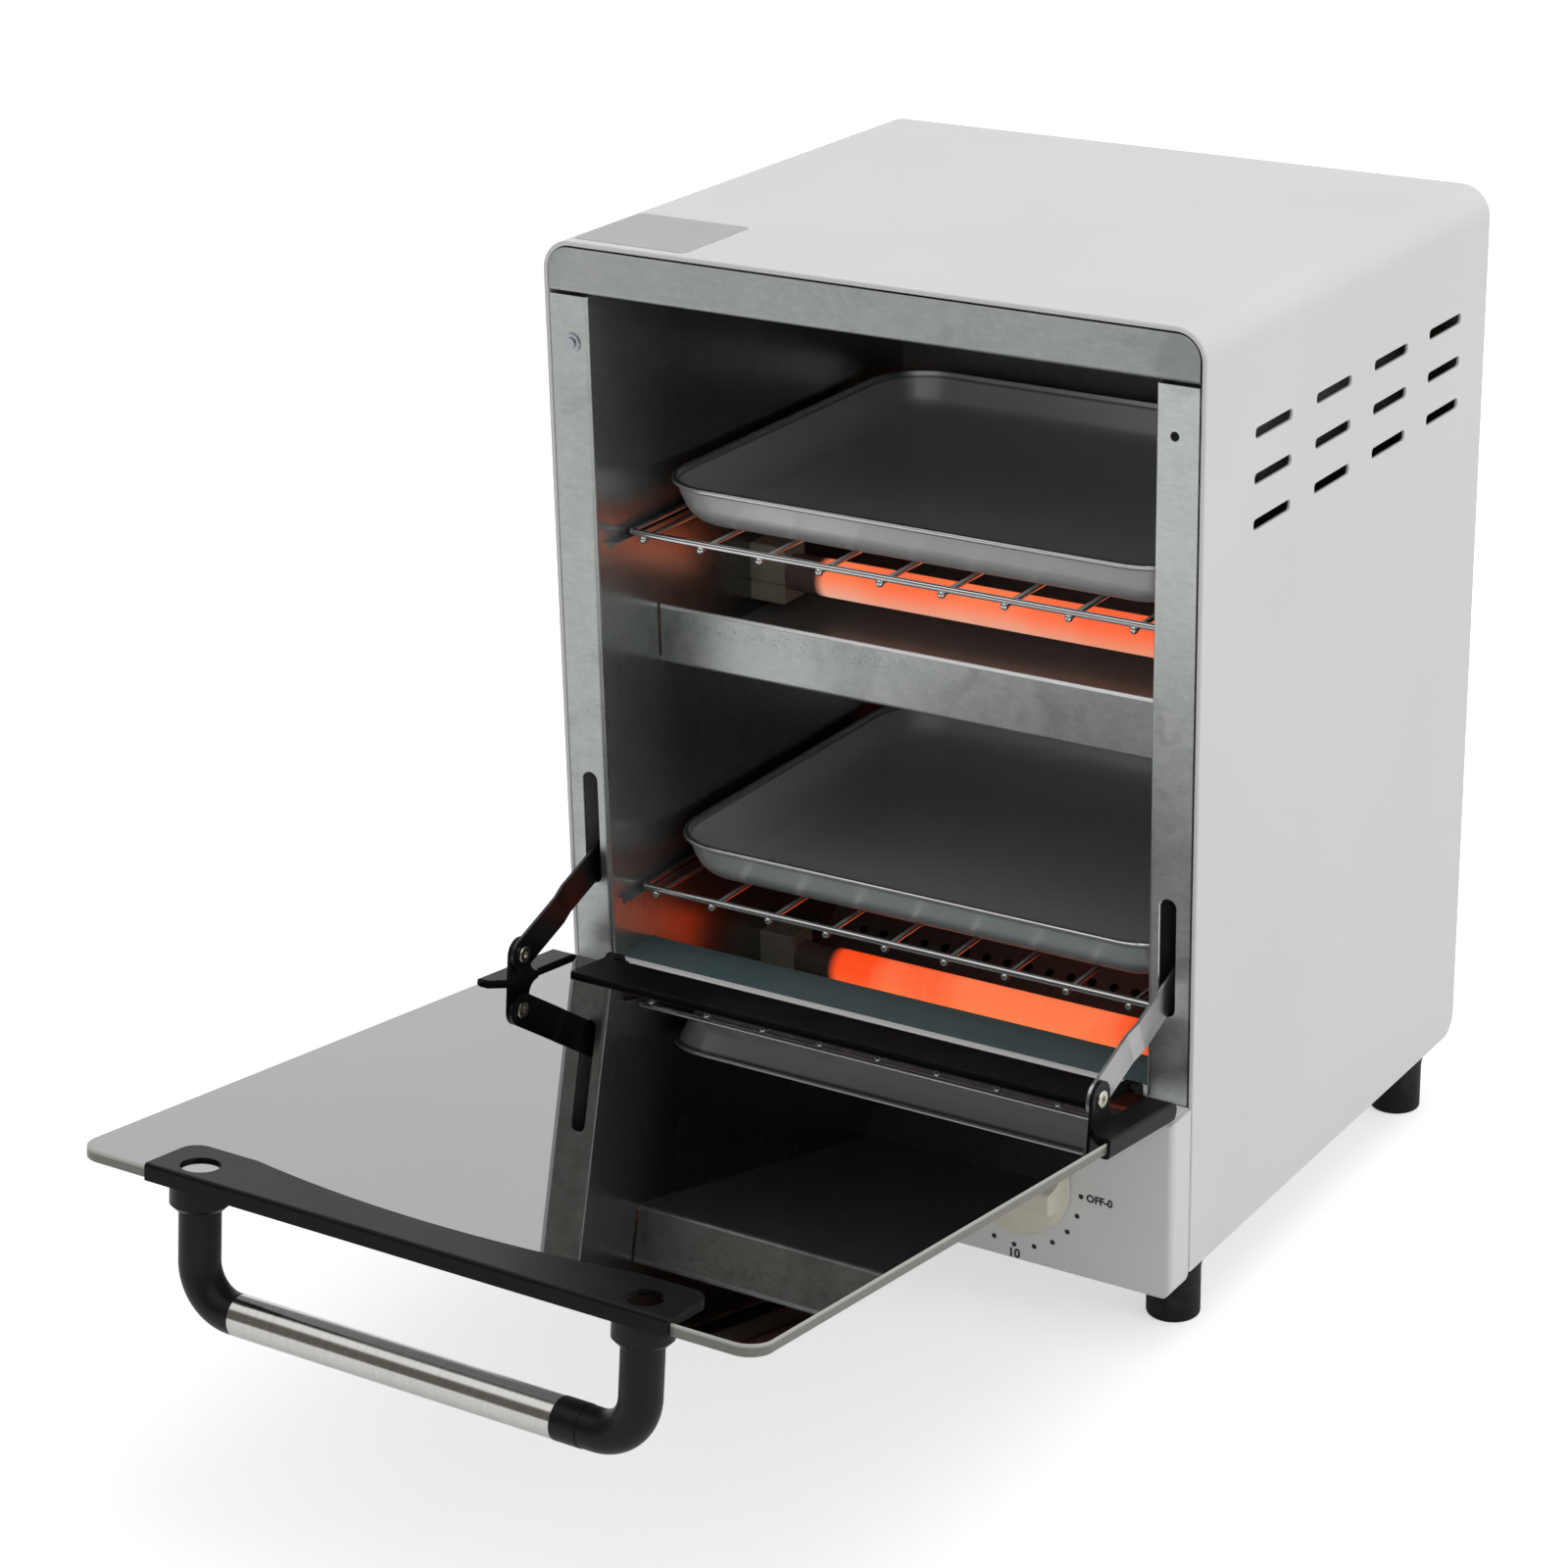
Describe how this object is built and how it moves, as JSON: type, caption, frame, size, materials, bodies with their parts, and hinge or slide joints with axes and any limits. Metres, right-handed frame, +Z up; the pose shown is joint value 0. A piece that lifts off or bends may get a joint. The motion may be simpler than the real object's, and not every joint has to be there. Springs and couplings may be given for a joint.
{
  "type": "dry heat sterilizer",
  "caption": "Bench-top hot air oven for small tools, with a drop-down glass door on stay arms, heating tubes, wire racks with trays, and a dial panel under the door.",
  "frame": {"origin": "on the bench, under the middle of the width and of the depth, door open as stored", "axes": "+Z up; the front with the door and the dials looks along -Y; +X is to the right seen from the front"},
  "size_m": [0.25, 0.4958, 0.3503],
  "materials": {
    "white_enamel": "satin powder coat",
    "galvanised": "galvanised, satin",
    "dark_steel": "dull",
    "mirror_glass": "dark mirror",
    "black_metal": "satin",
    "handle_plastic": "satin",
    "handle_steel": "brushed",
    "arm_steel": "satin",
    "rivet_steel": "polished",
    "zinc_screw": "zinc plated",
    "rack_chrome": "bright",
    "tray_steel": "stainless, satin",
    "heater_quartz": "glowing when on",
    "holder_ceramic": "matte",
    "cream_plastic": "satin",
    "lamp_amber": "clear amber",
    "black_plastic": "matte",
    "black_rubber": "matte",
    "board_wool": "mineral wool",
    "label_grey": "matte"
  },
  "bodies": {
    "cabinet": {"outer_cover": "white_enamel", "back_panel": "galvanised", "base_plate": "galvanised", "cover_screws": "zinc_screw", "cable_gland": "black_plastic", "front_left_foot": "black_rubber", "front_right_foot": "black_rubber", "rear_left_foot": "black_rubber", "rear_right_foot": "black_rubber", "foot_screws": "zinc_screw", "label_plate": "label_grey", "control_panel": "white_enamel", "timer_body": "black_plastic", "thermostat_body": "black_plastic", "indicator_lamp": "lamp_amber", "terminal_block": "black_plastic", "right_liner": "galvanised", "left_liner": "galvanised", "pillar_rivet": "zinc_screw", "floor_plate": "dark_steel", "divider_shelf": "galvanised", "chamber_roof": "galvanised", "chamber_back": "dark_steel", "lower_reflector": "dark_steel", "roof_board": "board_wool", "back_board": "board_wool", "upper_heater_tube": "heater_quartz", "right_upper_heater_holder": "holder_ceramic", "left_upper_heater_holder": "holder_ceramic", "right_upper_runner": "galvanised", "left_upper_runner": "galvanised", "lower_heater_tube": "heater_quartz", "right_lower_heater_holder": "holder_ceramic", "left_lower_heater_holder": "holder_ceramic", "right_lower_runner": "galvanised", "left_lower_runner": "galvanised", "right_hinge_tab": "black_metal", "left_hinge_tab": "black_metal"},
    "door": {"door_glass": "mirror_glass", "hinge_channel": "black_metal", "right_clip": "black_metal", "left_clip": "black_metal", "right_stay_rivet": "rivet_steel", "left_stay_rivet": "rivet_steel", "handle_plate": "black_metal", "right_handle_collar": "handle_plastic", "left_handle_collar": "handle_plastic", "left_handle_elbow": "handle_plastic", "right_handle_elbow": "handle_plastic", "handle_tube": "handle_steel", "handle_screws": "rivet_steel"},
    "left_arm": {"left_stay_arm": "arm_steel"},
    "right_arm": {"right_stay_arm": "arm_steel"},
    "timer_dial": {"timer_knob": "cream_plastic"},
    "thermostat_dial": {"thermostat_knob": "cream_plastic"},
    "upper_rack_slide": {"upper_rack": "rack_chrome"},
    "lower_rack_slide": {"lower_rack": "rack_chrome"},
    "upper_tray_lift": {"upper_tray": "tray_steel"},
    "lower_tray_lift": {"lower_tray": "tray_steel"}
  },
  "joints": [
    {"name": "door_hinge", "type": "hinge", "parent": "cabinet", "child": "door", "pos_m": [0, 0.01313, 0.08951], "axis": [-1, 0, 0], "range_deg": [0, 82.56]},
    {"name": "left_arm_pivot", "type": "hinge", "parent": "door", "child": "left_arm", "pos_m": [-0.1146, -0.02885, 0.10699], "axis": [-1, 0, 0], "range_deg": [-67.6, 0]},
    {"name": "right_arm_pivot", "type": "hinge", "parent": "door", "child": "right_arm", "pos_m": [0.1146, -0.02885, 0.10699], "axis": [-1, 0, 0], "range_deg": [-67.6, 0]},
    {"name": "timer_turn", "type": "hinge", "parent": "cabinet", "child": "timer_dial", "pos_m": [0.0656, 0.00364, 0.052], "axis": [0, 1, 0], "range_deg": [0, 265]},
    {"name": "thermostat_turn", "type": "hinge", "parent": "cabinet", "child": "thermostat_dial", "pos_m": [-0.0656, 0.00364, 0.052], "axis": [0, 1, 0], "range_deg": [0, 265]},
    {"name": "upper_rack_pull", "type": "slide", "parent": "cabinet", "child": "upper_rack_slide", "axis": [0, 1, 0], "range_m": [-0.15, 0]},
    {"name": "lower_rack_pull", "type": "slide", "parent": "cabinet", "child": "lower_rack_slide", "axis": [0, 1, 0], "range_m": [-0.12, 0]},
    {"name": "upper_tray_shift", "type": "slide", "parent": "upper_rack_slide", "child": "upper_tray_lift", "axis": [0, 1, 0], "range_m": [-0.015, 0]},
    {"name": "lower_tray_shift", "type": "slide", "parent": "lower_rack_slide", "child": "lower_tray_lift", "axis": [0, 1, 0], "range_m": [-0.015, 0]}
  ],
  "couplings": [
    {"joint": "left_arm_pivot", "follows": "door_hinge", "ratio": -0.81831},
    {"joint": "right_arm_pivot", "follows": "door_hinge", "ratio": -0.81831}
  ]
}
